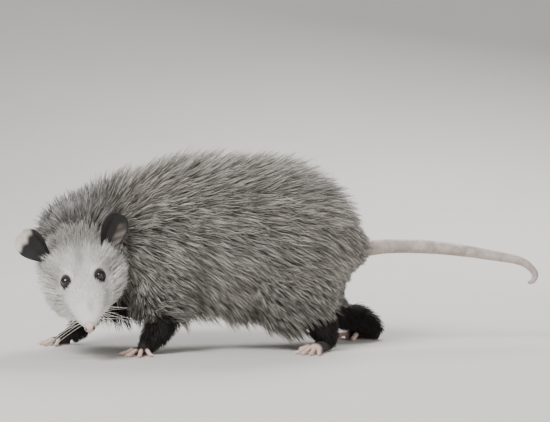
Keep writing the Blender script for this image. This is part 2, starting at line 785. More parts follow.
def paw_tint(points, name):
    """Dark to the middle of the hand or foot, then pale pinkish digits."""
    _, colours = settings()
    at, heading = PAWS[name]
    way = np.array((math.cos(heading), math.sin(heading)))
    offset = points[:, :2] - np.array(at)[:2]
    along = offset @ way
    if name.startswith("fore"):
        across = np.linalg.norm(offset, axis=1)
        pale = ease(across, 0.0090, 0.0130) * ease(along, -0.006, 0.002)
    else:
        inward = -side_sign(name.split("_")[1]) * (offset @ np.array((-way[1], way[0])))
        pale = np.maximum(ease(along, 0.012, 0.019), ease(inward, 0.008, 0.013))
    pale = np.maximum(pale, 1 - ease(points[:, 2], 0.0004, 0.0016))
    return mix(colours.leg, colours.paw, pale)


def body_tint(points):
    """The skin of the body under the coat, darker towards the legs and on the breast."""
    _, colours = settings()
    dark = np.maximum(leg_share(points), breast(points))
    return mix(plain(colours.under_root, len(points)), colours.leg, dark)


def skin_tint(verts):
    """Each place in the colours of the form that it came from."""
    names = ("head", "body", *PAWS)
    away = np.array([distances(tree_over(*shapes()[name][:2]), verts) for name in names])
    # Where two forms are equally near, the head or the paw gives the colour.
    away[names.index("body")] += 1e-4
    nearest = np.argmin(away, axis=0)
    tint = body_tint(verts)
    for i, name in enumerate(names):
        own = nearest == i
        if name == "head":
            tint[own] = face_tint(to_head(verts[own])) * 0.8
        elif name != "body":
            tint[own] = paw_tint(verts[own], name)
    return tint


# ---- roots, lie and tufts of the coat ----


def roots_on(name, count, rng, wanted=None):
    """Evenly scattered roots on one source where the skin shows it, with their normals."""
    verts, tris, normals = shapes()[name]
    a, b, c = verts[tris[:, 0]], verts[tris[:, 1]], verts[tris[:, 2]]
    area = np.linalg.norm(np.cross(b - a, c - a), axis=1) / 2
    if wanted is not None:
        area = area * wanted((a + b + c) / 3)
    reach = np.cumsum(area)
    pick = np.searchsorted(reach, (np.arange(count) + rng.random(count)) / count * reach[-1])
    pick = np.minimum(pick, len(tris) - 1)
    u, v = rng.random(count), rng.random(count)
    over = u + v > 1
    u[over], v[over] = 1 - u[over], 1 - v[over]
    w = (1 - u - v)[:, None]
    u, v = u[:, None], v[:, None]
    corner = tris[pick]
    points = a[pick] * w + b[pick] * u + c[pick] * v
    lift = unit(normals[corner[:, 0]] * w + normals[corner[:, 1]] * u + normals[corner[:, 2]] * v)
    shown = distances(shapes()["tree"], points) < ON_SKIN
    return points[shown], lift[shown]


def body_lie(points):
    """Back and down along the body, down on the haunch, and out from the face on the nape."""
    x, z = points[:, 0], points[:, 2]
    height = (z - 0.115) / 0.085
    down = -0.05 + 0.62 * ease(0.9 - height, 0.0, 1.2) + 0.45 * ease(x, -0.01, 0.07)
    down *= 1 - 0.8 * ease(-height, 0.75, 1.0)
    back = np.stack((np.ones_like(x), np.zeros_like(x), -down), axis=1)
    away = unit(points - np.array((-0.200, -0.110, 0.095)))
    lie = back + (away - back) * ease(-x, 0.135, 0.212)[:, None]
    leg = leg_share(points)[:, None]
    return unit(lie * (1 - leg) + np.array((0.25, -0.05, -1.0)) * leg)


def face_lie(local):
    """Back from the nose, out and down over the cheeks, and parted round the eyes."""
    x, y, z = local.T
    out = 0.42 * np.clip(x / 0.020, -1.4, 1.4) * ease(y, 0.01, 0.06)
    lie = np.stack((out, np.ones_like(x), 0.25 - 0.55 * ease(-z, -0.012, 0.014)), axis=1)
    for side in SIDES:
        offset = local - np.add(eye_at(side), (0, 0, 0.003))
        far = np.linalg.norm(offset, axis=1)
        lie += unit(offset) * (1.3 * np.exp(-((far / 0.0115) ** 2)))[:, None]
    lie = unit(lie) + far_jowl(local)[:, None] * np.array((-0.50, -0.75, -0.55))
    # Round each ear the hair stands up against its root like a collar.
    back = head_matrix().to_3x3().inverted()
    for side, (hidden, _, _, along, _) in EARS.items():
        root = ear_root(side)
        collar = np.array(root + back @ (hidden + along.normalized() * 0.010))
        near = 1 - ease(np.linalg.norm(local - np.array(root), axis=1), 0.010, 0.020)
        lie += unit(collar - local) * (2.4 * near)[:, None]
    return unit(lie)


def tuft_paths(tufts, rng, steps):
    """Each tuft's middle line from its root to its tip, leaning along the lie of the coat."""
    root, lift, length = tufts["root"], tufts["lift"], tufts["length"]
    count = len(root)
    lie = unit(tufts["lie"] - lift * np.sum(tufts["lie"] * lift, axis=1, keepdims=True))
    side = np.cross(lift, lie)
    lie = unit(lie + side * rng.normal(0, tufts.get("sway", 0.16), count)[:, None])
    begin = (tufts["rise"][0] + rng.normal(0, 0.10, count))[:, None]
    end = (tufts["rise"][1] + rng.normal(0, 0.08, count))[:, None]
    path = np.empty((count, len(steps), 3))
    path[:, 0] = root - lift * ROOT_DEPTH
    for k in range(1, len(steps)):
        angle = begin + (end - begin) * ((steps[k - 1] + steps[k]) / 2)
        way = lie * np.cos(angle) + lift * np.sin(angle)
        path[:, k] = path[:, k - 1] + way * (length * (steps[k] - steps[k - 1]))[:, None]
    return path


def gather(path, root, steps, clumps, share, patchy, rng):
    """Draws the tufts together in clumps and gives each its clump's tone."""
    count = len(root)
    heads = rng.choice(count, clumps, replace=False)
    finder = KDTree(clumps)
    for i, head in enumerate(heads):
        finder.insert(root[head], i)
    finder.balance()
    nearest = np.array([finder.find(p)[1] for p in root])
    own = heads[nearest]
    tone = rng.uniform(1 - patchy, 1 + patchy, clumps)[nearest]
    for k in range(1, len(steps)):
        close_by = (0.85 + 0.15 * rng.random(count))[:, None]
        target = path[own, 0] + (path[own, k] - path[own, 0]) * close_by
        path[:, k] += (target - path[:, k]) * (share * steps[k] ** 1.6)
    path[:, :, 2] = np.maximum(path[:, :, 2], FLOOR_GAP)
    return tone


def tuft_corners(path, lift, radius, joints):
    """Three corners round each joint of each path, and the tip."""
    count = len(path)
    ring = np.empty((count, joints, 3, 3))
    for k, wide in enumerate((0.85, 1.0, 0.66) if joints == 3 else (0.9, 0.8)):
        way = unit(path[:, k + 1] - path[:, max(k - 1, 0)])
        across = unit(np.cross(way, lift))
        out = np.cross(across, way)
        for j in range(3):
            turn = 2 * math.pi * j / 3 + math.pi / 2
            corner = across * math.cos(turn) + out * math.sin(turn) * 0.75
            ring[:, k, j] = path[:, k] + corner * (radius * wide)[:, None]
    return np.concatenate((ring.reshape(count, 3 * joints, 3), path[:, joints:]), axis=1)


def tuft_faces(joints):
    """The triangles of one tuft, closed at the root and pointed at the tip."""
    last, faces = 3 * joints, []
    for k in range(joints - 1):
        for j in range(3):
            a, b = 3 * k + j, 3 * k + (j + 1) % 3
            faces += [(a, b, b + 3), (a, b + 3, a + 3)]
    for j in range(3):
        faces.append((last - 3 + j, last - 3 + (j + 1) % 3, last))
    faces.append((2, 1, 0))
    return np.array(faces)


def triangle_mesh(name, verts, corners, chart):
    """A mesh of triangles with its chart for baking."""
    mesh = bpy.data.meshes.new(name)
    mesh.vertices.add(len(verts))
    mesh.vertices.foreach_set("co", verts.astype(np.float32).ravel())
    mesh.loops.add(len(corners))
    mesh.loops.foreach_set("vertex_index", corners.astype(np.int32))
    mesh.polygons.add(len(corners) // 3)
    mesh.polygons.foreach_set("loop_start", np.arange(0, len(corners), 3, dtype=np.int32))
    layer = mesh.uv_layers.new(name="OFBake")
    layer.data.foreach_set("uv", chart.astype(np.float32).ravel())
    mesh.update(calc_edges=True)
    return mesh


def grow_coat(name, tufts, rng, clumps, share, material, joints=3):
    """Solid three-sided tapered tufts in pieces, gathered towards their neighbours' tips."""
    root, count, last = tufts["root"], len(tufts["root"]), 3 * joints
    steps = np.array((0.0, 0.40, 0.75, 1.0) if joints == 3 else (0.0, 0.55, 1.0))
    path = tuft_paths(tufts, rng, steps)
    tone = gather(path, root, steps, clumps, share, tufts.get("patchy", 0.2), rng)
    verts = tuft_corners(path, tufts["lift"], tufts["radius"], joints)
    tint = np.empty((count, last + 1, 3))
    bands = ("tint_root", "tint_middle", "tint_upper") if joints == 3 else ("tint_root", "tint_upper")
    for k, band in enumerate(bands):
        tint[:, 3 * k : 3 * k + 3] = tufts[band][:, None]
    tint[:, last] = tufts["tint_tip"]
    tint *= tone[:, None, None]
    faces = tuft_faces(joints)
    # A tuft's patch on the chart: its sides next to each other, from the root up to the tip.
    patch = [((i % 3 - 1) * TUFT_PATCH / 2, i // 3 * TUFT_PATCH / joints) for i in range(last)]
    patch = np.array([*patch, (0.0, TUFT_PATCH)])
    pieces = math.ceil(count * len(faces) / PIECE_TRIANGLES)
    for i, chosen in enumerate(np.array_split(np.arange(count), pieces)):
        size = len(chosen)
        corners = (faces[None] + (last + 1) * np.arange(size)[:, None, None]).reshape(-1)
        chart = tufts["chart"][chosen][:, None] + patch[faces.reshape(-1)][None]
        mesh = triangle_mesh(name, verts[chosen].reshape(-1, 3), corners, chart)
        obj = show(f"{name}_{i + 1}" if pieces > 1 else name, mesh)
        paint(obj, tint[chosen].reshape(-1, 3))
        settle(obj, obj.name, material)


def settle(obj, name, material, replaced=()):
    """Names a piece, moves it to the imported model's place and ties it to the body."""
    obj.name = name
    obj.data.transform(Matrix.Translation(design_shift()))
    obj.data.polygons.foreach_set("use_smooth", np.ones(len(obj.data.polygons), bool))
    obj.data.materials.clear()
    obj.data.materials.append(material)
    obj.data.update()
    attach(obj, "root")
    if replaced:
        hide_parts(*replaced)
    return obj


def body_chart(points):
    """Places on the left part of the chart: along the trunk, and round it."""
    table = np.array(TRUNK_ROWS)
    middle_y = np.interp(points[:, 0], table[:, 0], table[:, 1])
    middle_z = np.interp(points[:, 0], table[:, 0], table[:, 2])
    angle = np.arctan2(points[:, 1] - middle_y, points[:, 2] - middle_z) / (2 * math.pi) + 0.5
    along = np.clip((points[:, 0] + 0.27) / 0.39, 0, 1)
    return np.stack((0.02 + 0.60 * along, 0.02 + 0.96 * angle), axis=1)


def head_chart(local):
    """Places on the upper right part of the chart: back along the head, and round it."""
    angle = np.arctan2(local[:, 0], local[:, 2] - 0.004) / (2 * math.pi) + 0.5
    along = np.clip(local[:, 1] / 0.14, 0, 1)
    return np.stack((0.66 + 0.31 * along, 0.52 + 0.45 * angle), axis=1)


def leg_chart(points):
    """Places on the lower right part of the chart: up each leg, and round it."""
    best = np.full(len(points), 9.0)
    chart = np.zeros((len(points), 2))
    for k, rows in enumerate(LEGS.values()):
        for row in smooth_rows(rows, 16):
            away = np.linalg.norm(points - row[:3], axis=1)
            near = away < best
            best[near] = away[near]
            angle = np.arctan2(points[near, 1] - row[1], points[near, 0] - row[0]) / (2 * math.pi) + 0.5
            chart[near, 0] = 0.66 + 0.31 * (k + np.clip(points[near, 2] / 0.10, 0, 0.96)) / 4
            chart[near, 1] = 0.03 + 0.43 * angle
    return chart


def breast(points):
    """The dark-haired breast between the forelegs and under the neck."""
    above = points[:, 2] - 0.068 + 1.15 * (points[:, 0] + 0.164)
    return (1 - ease(above, -0.012, 0.010)) * (1 - ease(points[:, 2], 0.066, 0.098))


def body_roots(count, rng):
    """Roots on the trunk, without those of the legs."""
    points, lift = roots_on("body", count, rng, lambda p: 1 - 0.97 * leg_share(p))
    keep = rng.random(len(points)) > leg_share(points)
    return points[keep], lift[keep]


def body_tufts(count, rng, share, radius, tints, bright):
    """Tufts of one layer of the body's coat."""
    root, lift = body_roots(count, rng)
    n = len(root)
    x, y, z = root.T
    table = np.array(TRUNK_ROWS)
    mid_y, mid_z, width, above, below, depth = (
        np.interp(x, table[:, 0], table[:, i]) for i in range(1, 7)
    )
    # The coat is shallower on the shoulders and thighs, which stand out from the trunk's rows.
    tall = np.where(z > mid_z, above, below)
    spread = np.hypot((y - mid_y) / (width - depth), (z - mid_z) / (tall - depth))
    depth = np.maximum(depth - 0.045 * np.clip(spread - 1, 0, 1), np.minimum(depth, 0.018))
    leg = leg_share(root)
    raised = ease(z, 0.13, 0.20)
    neck = ease(-x, 0.150, 0.215)
    low = 1 - ease(z, 0.050, 0.085)
    hang = ease(-lift[:, 2], 0.10, 0.75)
    stern = ease(x, 0.040, 0.085)
    low_stern = ease(x, 0.025, 0.065) * (1 - ease(z, 0.085, 0.115))
    ahead = ease(-lift[:, 0], 0.10, 0.60) * ease(x, -0.09, -0.06) * ease(-lift[:, 2], -0.1, 0.3)
    begin = 0.66 + 0.20 * raised + 0.10 * neck + 0.26 * hang - 0.15 * stern - 0.40 * ahead
    end = 0.40 + 0.14 * raised + 0.10 * neck + 0.38 * hang - 0.15 * stern - 0.40 * ahead
    length = depth * 1.72 * share * (1 - 0.10 * neck) * rng.uniform(0.62, 1.20, n)
    length *= (1 - 0.45 * leg) * (1 - 0.42 * stern) * (1 - 0.40 * low_stern)
    shade = (
        (1 - 0.30 * low)
        * (1 - 0.55 * leg)
        * (1 - 0.93 * breast(root))
        * (1 - neck * (0.50 - 0.32 * ease(y, -0.02, 0.03)))
    )[:, None]
    root_tint, middle, tip, pale_tip = (plain(t, n) for t in tints)
    root_tint = root_tint * rng.uniform(0.7, 1.2, (n, 1))
    pale = rng.random(n) < bright
    middle = middle * rng.uniform(0.45, 1.15, (n, 1)) * shade
    tip = mix(tip * 0.8, pale_tip, pale) * rng.uniform(0.68, 1.18, (n, 1)) * shade
    return {
        "root": root,
        "lift": lift,
        "lie": body_lie(root),
        "length": length,
        "sway": 0.20,
        "radius": radius * rng.uniform(0.8, 1.2, n),
        "rise": (begin, end),
        "tint_root": root_tint,
        "tint_middle": middle,
        "tint_upper": middle * 0.4 + tip * 0.6,
        "tint_tip": tip,
        "chart": body_chart(root),
    }


def face_tufts(count, rng, long):
    """Short white tufts of the face, or the long ones of cheeks, throat, crown and temples."""
    _, colours = settings()

    def density(points):
        local = to_head(points)
        parts = fluff(local)
        share = np.max(parts, axis=0)
        if long:
            return share + 1.4 * parts[3] + 1.2 * far_jowl(local) + 0.02
        return (1 - 0.75 * share) * (0.8 + 0.6 * ease(0.06 - local[:, 1], 0.0, 0.05))

    root, lift = roots_on("head", count, rng, density)
    local = to_head(root)
    keep = local[:, 1] > 0.0078
    for side in SIDES:
        away = np.linalg.norm(local - np.array(eye_at(side)), axis=1)
        keep &= away > (0.015 if long else 0.0074)
    root, lift, local = root[keep], lift[keep], local[keep]
    x, y, _ = local.T
    n = len(root)
    cheek, throat, crown, temple = fluff(local)
    length = np.interp(
        y,
        (0.008, 0.016, 0.030, 0.050, 0.070, 0.095),
        (0.0016, 0.0030, 0.0052, 0.0066, 0.0080, 0.0100),
    )
    if long:
        jowl = far_jowl(local)
        for share, reach in ((throat, 0.017), (crown, 0.019), (temple, 0.017), (cheek, 0.022)):
            length = length + (reach - length) * share
        length *= 0.55 + 0.45 * ease(y + 0.014 * jowl, 0.034, 0.070)
        length *= 1 - 0.30 * jowl
    for side in SIDES:
        away = np.linalg.norm(local - np.array(eye_at(side)), axis=1)
        length *= 0.45 + 0.55 * ease(away, 0.0075, 0.0125)
    length *= rng.uniform(0.55, 1.20, n)
    tint = face_tint(local)
    calm = tint * (1 - 0.22 * rng.random((n, 1)))
    most = np.max((cheek, throat, crown, temple), axis=0)
    near = ease(x, 0.0, 0.02) * cheek
    length *= 1 - 0.12 * near
    begin = 0.46 + 0.46 * most + 0.10 * crown - 0.16 * near
    end = (
        0.16
        + 0.42 * np.maximum(cheek, 0.8 * throat)
        + 0.45 * crown
        + 0.30 * temple
        - 0.16 * near
    )
    girth = np.interp(length, (0.0015, 0.006, 0.02), (0.00013, 0.00025, 0.00036))
    tip_share = 0.45 * crown + 0.3 * ease(y, 0.104, 0.120)
    return {
        "root": root,
        "lift": lift,
        "lie": from_head(face_lie(local)),
        "length": length,
        "radius": girth * rng.uniform(0.8, 1.2, n),
        "rise": (begin, np.minimum(end, begin - 0.1)),
        "sway": 0.14 + 0.14 * long,
        "patchy": 0.07,
        "tint_root": mix(tint * 0.88, np.array(colours.under_root), 0.8 * crown),
        "tint_middle": calm * mix(0.97, 0.70, crown),
        "tint_upper": calm,
        "tint_tip": mix(calm, np.array(colours.guard_tip), tip_share),
        "chart": head_chart(local),
    }


def leg_tufts(count, rng):
    """Black tufts of the legs, shorter towards the wrist and the heel."""
    _, colours = settings()
    root, lift = roots_on("body", count, rng, leg_share)
    n = len(root)
    length = np.interp(root[:, 2], (0.006, 0.02, 0.05), (0.0070, 0.0130, 0.0200))
    length = length * rng.uniform(0.75, 1.2, n)
    tint = plain(colours.leg, n) * rng.uniform(0.7, 1.6, (n, 1))
    return {
        "root": root,
        "lift": lift,
        "lie": body_lie(root),
        "length": length,
        "radius": np.full(n, 0.00034) * rng.uniform(0.8, 1.2, n),
        "rise": (np.full(n, 0.60), np.full(n, 0.26)),
        "tint_root": tint * 0.6,
        "tint_middle": tint,
        "tint_upper": tint * 1.15,
        "tint_tip": tint * 1.3,
        "chart": leg_chart(root),
    }


def paw_tufts(count, rng):
    """Very short hair on the backs of the hands and feet."""
    parts = []
    for name, (_, heading) in PAWS.items():
        root, lift = roots_on(name, count // 4, rng, lambda p: ease(p[:, 2], 0.002, 0.004))
        keep = lift[:, 2] > -0.1
        root, lift = root[keep], lift[keep]
        way = np.array((math.cos(heading), math.sin(heading), -0.25))
        parts.append((root, lift, np.tile(way, (len(root), 1)), paw_tint(root, name)))
    root, lift, lie, tint = (np.concatenate(rows) for rows in zip(*parts))
    n = len(root)
    tint = tint * rng.uniform(0.8, 1.15, (n, 1))
    return {
        "root": root,
        "lift": lift,
        "lie": lie,
        "length": np.interp(root[:, 2], (0.003, 0.012), (0.0016, 0.0038)) * rng.uniform(0.8, 1.2, n),
        "radius": np.full(n, 0.00016),
        "rise": (np.full(n, 0.35), np.full(n, 0.15)),
        "tint_root": tint * 0.8,
        "tint_middle": tint,
        "tint_upper": tint,
        "tint_tip": tint,
        "chart": leg_chart(root),
    }


# ---- materials ----


def plug(tree, node, values=None, links=None):
    """Sets values on a node's sockets and links outputs to them."""
    for key, value in (values or {}).items():
        node.inputs[key].default_value = value
    for key, output in (links or {}).items():
        tree.links.new(output, node.inputs[key])


def add(tree, kind, values=None, links=None, **props):
    """Adds a node with its settings, its sockets' values and its links."""
    made = tree.nodes.new(kind)
    for key, value in props.items():
        setattr(made, key, value)
    plug(tree, made, values, links)
    return made


def finish_of(name):
    """A new material, its node tree, its one shader and the place on the object."""
    made = bpy.data.materials.get(name)
    if made:
        bpy.data.materials.remove(made)
    made = bpy.data.materials.new(name)
    made.use_nodes = True
    tree = made.node_tree
    tree.nodes.clear()
    shader = add(tree, "ShaderNodeBsdfPrincipled")
    add(tree, "ShaderNodeOutputMaterial", links={"Surface": shader.outputs[0]})
    place = add(tree, "ShaderNodeTexCoord").outputs["Object"]
    return made, tree, shader, place


def mottled(tree, place, scale, detail, tones, span=(0.0, 1.0)):
    """Soft clouds of a scale, and the painted colour made darker and lighter by them."""
    tint = add(tree, "ShaderNodeAttribute", attribute_name="Tint")
    cloud = add(tree, "ShaderNodeTexNoise", {"Scale": scale, "Detail": detail}, {"Vector": place})
    reach = dict(zip(("From Min", "From Max", "To Min", "To Max"), (*span, *tones)))
    share = add(tree, "ShaderNodeMapRange", reach, {"Value": cloud.outputs[0]})
    links = {0: tint.outputs["Color"], 1: share.outputs[0]}
    tone = add(tree, "ShaderNodeVectorMath", links=links, operation="MULTIPLY")
    return cloud.outputs[0], tone.outputs[0]


def drifting(tree, place, scale, detail, dark, light):
    """A colour that drifts softly between two tones."""
    cloud = add(tree, "ShaderNodeTexNoise", {"Scale": scale, "Detail": detail}, {"Vector": place})
    ramp = add(tree, "ShaderNodeValToRGB", links={0: cloud.outputs[0]})
    for element, code in zip(ramp.color_ramp.elements, (dark, light)):
        element.color = (*linear(code), 1)
    return ramp.outputs[0]


def hair_material(name, roughness, sheen, uneven=0.05):
    """Hair keratin, grown: a soft gloss along each hair and slight changes of tone between hairs."""
    made, tree, shader, place = finish_of(name)
    # Changes of tone from 25 mm down to 3 mm across, as the hairs of one lock share their wear.
    _, tone = mottled(tree, place, 40.0, 4.0, (1 - uneven, 1 + uneven), (0.3, 0.7))
    values = {"Roughness": roughness, "IOR": 1.55, "Specular IOR Level": 0.35}
    values.update({"Sheen Weight": sheen, "Sheen Roughness": 0.4})
    plug(tree, shader, values, {"Base Color": tone})
    return made


def skin_material():
    """Skin under short hair: matt, with a fine nap that takes the place of the shortest hairs."""
    made, tree, shader, place = finish_of("short_haired_skin")
    # Folds about 2 mm apart, and hair ends about 0.5 mm apart.
    folds, tone = mottled(tree, place, 480.0, 3.0, (0.84, 1.10))
    nap = add(tree, "ShaderNodeTexNoise", {"Scale": 1900.0, "Detail": 2.0}, {"Vector": place})
    low = add(tree, "ShaderNodeBump", {"Strength": 0.35, "Distance": 0.0006}, {"Height": folds})
    links = {"Height": nap.outputs[0], "Normal": low.outputs[0]}
    high = add(tree, "ShaderNodeBump", {"Strength": 0.45, "Distance": 0.0003}, links)
    values = {"Roughness": 0.62, "IOR": 1.45, "Specular IOR Level": 0.3, "Sheen Weight": 0.1}
    plug(tree, shader, values, {"Base Color": tone, "Normal": high.outputs[0]})
    return made


def tail_material():
    """Bare scaly tail skin: pale flesh grey, in small scales set in rings, with darker seams."""
    made, tree, shader, place = finish_of("scaly_tail_skin")
    run = add(tree, "ShaderNodeAttribute", attribute_name="Run").outputs["Fac"]
    # Rings of scales 2.2 mm apart along the tail.
    turns = add(tree, "ShaderNodeMath", {1: 2 * math.pi / 0.0022}, {0: run}, operation="MULTIPLY")
    wave = add(tree, "ShaderNodeMath", links={0: turns.outputs[0]}, operation="SINE")
    # Scales about 1.8 mm across, in blotches about 11 mm across.
    scales = add(
        tree,
        "ShaderNodeTexVoronoi",
        {"Scale": 560.0},
        {"Vector": place},
        feature="DISTANCE_TO_EDGE",
    )
    seam = add(tree, "ShaderNodeMapRange", {"From Max": 0.18}, {"Value": scales.outputs["Distance"]})
    dark_seam = add(tree, "ShaderNodeMapRange", {"To Min": 0.72}, {"Value": seam.outputs[0]})
    _, blotched = mottled(tree, place, 90.0, 3.0, (0.74, 1.06), (0.36, 0.60))
    links = {0: blotched, 1: dark_seam.outputs[0]}
    tone = add(tree, "ShaderNodeVectorMath", links=links, operation="MULTIPLY")
    rings = add(tree, "ShaderNodeBump", {"Strength": 0.4, "Distance": 0.0002}, {"Height": wave.outputs[0]})
    links = {"Height": seam.outputs[0], "Normal": rings.outputs[0]}
    relief = add(tree, "ShaderNodeBump", {"Strength": 0.7, "Distance": 0.00035}, links)
    values = {"Roughness": 0.5, "IOR": 1.5, "Specular IOR Level": 0.4}
    plug(tree, shader, values, {"Base Color": tone.outputs[0], "Normal": relief.outputs[0]})
    return made


def leather_material(name, pebble, relief, roughness, moist):
    """Bare black or pink skin, or horn: smooth and slightly leathery, with a fine pebble."""
    made, tree, shader, place = finish_of(name)
    # Changes of tone about 5 mm across.
    _, tone = mottled(tree, place, 220.0, 3.0, (0.8, 1.2))
    grain = add(tree, "ShaderNodeTexVoronoi", {"Scale": 1 / pebble}, {"Vector": place})
    links = {"Height": grain.outputs["Distance"]}
    bump = add(tree, "ShaderNodeBump", {"Strength": 0.5, "Distance": relief}, links)
    values = {"Roughness": roughness, "IOR": 1.45, "Coat Weight": moist, "Coat Roughness": 0.25}
    plug(tree, shader, values, {"Base Color": tone, "Normal": bump.outputs[0]})
    return made


def eye_material():
    """A wet cornea over a dark iris that fills the opening: black, with a clear bright glint."""
    made, tree, shader, place = finish_of("wet_dark_eye")
    iris = drifting(tree, place, 700.0, 2.0, "0B0807", "1E1411")
    values = {"Roughness": 0.12, "IOR": 1.376, "Coat Weight": 1.0, "Coat Roughness": 0.03}
    plug(tree, shader, values, {"Base Color": iris})
    return made


def card_material():
    """A sweep of matt pale card: even, with the faintest change of tone."""
    made, tree, shader, place = finish_of("matt_pale_card")
    card = drifting(tree, place, 3.0, 3.0, "CFCCC6", "D8D5CF")
    plug(tree, shader, {"Roughness": 0.85}, {"Base Color": card})
    return made


# ---- pieces ----


def make_skin():
    """One skin over body, head, legs and paws."""
    obj = shapes()["skin"]
    verts, _, _ = read(obj)
    paint(obj, skin_tint(verts))
    flesh = ["neck", "chest", "rump", "head", "jaw"]
    for kind in ("foreleg", "hindleg", "forepaw", "hindpaw"):
        flesh += [f"{kind}_{side}" for side in SIDES]
    settle(obj, "skin", skin_material(), flesh)


def make_tail():
    """The tail in one closed tube, with the run along it that its rings of scales need."""
    _, colours = settings()
    rings, sides = 200, 28
    loops = tube_rings(TAIL_ROWS, rings, sides)
    obj = skin_rings("tail", loops)
    middles = np.array([sum(loop, Vector()) / sides for loop in loops])
    run = np.concatenate(((0,), np.cumsum(np.linalg.norm(np.diff(middles, axis=0), axis=1))))
    run = np.concatenate((np.repeat(run, sides), (run[0], run[-1])))
    layer = obj.data.attributes.new("Run", "FLOAT", "POINT")
    layer.data.foreach_set("value", run.astype(np.float32))
    dark = (1 - ease(run, 0.015, 0.050))[:, None]
    paint(obj, plain(colours.tail, len(run)) * (1 - 0.30 * dark))
    nodes = ("tail_base", "tail_middle", "tail_tip")
    settle(obj, "tail", tail_material(), nodes)


def make_nose():
    """The bare nose pad with its two comma-shaped nostrils and the groove between them."""
    _, colours = settings()
    obj = head_loft("nose", NOSE_ROWS, 40, 48)
    for sign in (1, -1):
        lean = Matrix.Rotation(math.radians(-28 * sign), 4, "Z")
        for name, radii, at, detail in (
            ("nostril", (0.0014, 0.0034, 0.0017), (0.0043 * sign, -0.0012, 0.0016), (20, 14)),
            ("slit", (0.0007, 0.0026, 0.0009), (0.0057 * sign, 0.0014, 0.0008), (16, 10)),
        ):
            pit = ellipsoid(name, Vector(), radii, *detail)
            pit.data.transform(head_matrix() @ Matrix.Translation(at) @ lean)
            cut(obj, pit, "DIFFERENCE")
    verts, _, normals = read(obj)
    local = to_head(verts)
    groove = np.exp(-((local[:, 0] / 0.0006) ** 2)) * (1 - ease(local[:, 1], 0.001, 0.004))
    write(obj, verts - normals * (0.0005 * groove)[:, None])
    tint = plain(colours.nose, len(verts))
    for sign in (1, -1):
        away = np.linalg.norm(local - np.array((0.0043 * sign, -0.0006, 0.0016)), axis=1)
        tint = mix(tint, np.array(colours.leg), 0.85 * (1 - ease(away, 0.0014, 0.0028)))
    paint(obj, tint)
    # Moist nose skin: pink, with a wet gloss over a pebble of 0.6 mm.
    wet = leather_material("moist_nose_skin", 0.0006, 0.00018, 0.38, 0.35)
    settle(obj, "nose_pad", wet, ("nose",))


def make_eyes():
    """Both eyeballs in their sockets."""
    wet = eye_material()
    for side in SIDES:
        obj = ellipsoid("eyeball", eye_centre(side), (EYE_RADIUS - BALL_GAP,) * 3, 64, 40)
        settle(obj, f"eyeball_{side}", wet, (f"eye_{side}",))


def ear_frame(side):
    """The ear's frame: X across it, Y out of its cup, Z from its root to its tip."""
    hidden, _, _, along, facing = EARS[side]
    root, along = head_matrix() @ ear_root(side) + hidden, along.normalized()
    facing = (facing - along * facing.dot(along)).normalized()
    axes = Matrix((facing.cross(along), facing, along)).transposed().to_4x4()
    return Matrix.Translation(root) @ axes


def ear_point(tall, half, a, b):
    """A place on the ear's cup: a runs from root to tip, b from edge to edge."""
    width = half * (0.52 + 0.48 * math.sin(min(a / 0.55, 1) * math.pi / 2))
    width *= math.sqrt(max(1 - max((a - 0.5) / 0.52, 0) ** 2.4, 0.0)) if a > 0.5 else 1.0
    roll = 2.3 - 1.35 * a
    angle = b * roll / 2
    bend = width / (roll / 2)
    ripple = 0.00045 * math.sin(9 * b + 2) * math.sin(math.pi * a)
    y = bend * (1 - math.cos(angle)) + 0.004 * a * a
    y += ripple - 0.0006 * math.sin(14 * a) * (1 - a) * (1 - b * b)
    z = tall * a - 0.004 * (1 - a) + 0.003 * b * b * (1 - a)
    return Vector((bend * math.sin(angle), y, z))


def ear_tint(side, a, b):
    """Black, with a white tip on the right ear and a paler fold in the left one."""
    _, colours = settings()
    tint = plain(colours.ear, len(a))
    if side == "right":
        white = ease(a + 0.10 * b + 0.03 * np.sin(9 * b), 0.66, 0.82)
        return mix(tint, colours.ear_tip, white)
    fold = (
        ease(-b, 0.10, 0.35)
        * (1 - ease(-b, 0.80, 0.97))
        * ease(a, 0.02, 0.16)
        * (1 - ease(a, 0.62, 0.86))
    )
    ripple = 0.55 + 0.30 * np.sin(23 * a + 7 * b) + 0.15 * np.sin(41 * b)
    return mix(tint, colours.ear_fold, fold * np.clip(ripple, 0.15, 1))


def make_ears():
    """Thin cups with a rolled root and a few soft folds."""
    steps = 33
    shares = [(a, b) for a in np.linspace(0, 1, steps) for b in np.linspace(-1, 1, steps)]
    faces = []
    for i in range(steps - 1):
        for j in range(steps - 1):
            k = i * steps + j
            faces.append((k, k + 1, k + steps + 1, k + steps))
    for side in SIDES:
        place = ear_frame(side)
        _, tall, half, _, _ = EARS[side]
        mesh = bpy.data.meshes.new("ear")
        mesh.from_pydata([tuple(place @ ear_point(tall, half, a, b)) for a, b in shares], [], faces)
        obj = show("ear", mesh)
        paint(obj, ear_tint(side, *np.array(shares).T))
        wall = obj.modifiers.new("wall", "SOLIDIFY")
        wall.thickness = EAR_WALL
        wall.offset = 0.0
        apply_modifiers(obj)
        # Thin bare skin: black and half matt, with a pebble of 0.7 mm that hardly shows.
        thin = leather_material(f"thin_ear_skin_{side}", 0.0007, 0.0001, 0.5, 0.0)
        settle(obj, f"ear_flap_{side}", thin, (f"ear_{side}",))


def plain_join(name, parts, tint):
    """The parts as one object in one colour."""
    obj = join(name, parts)
    paint(obj, plain(tint, len(obj.data.vertices)))
    return obj


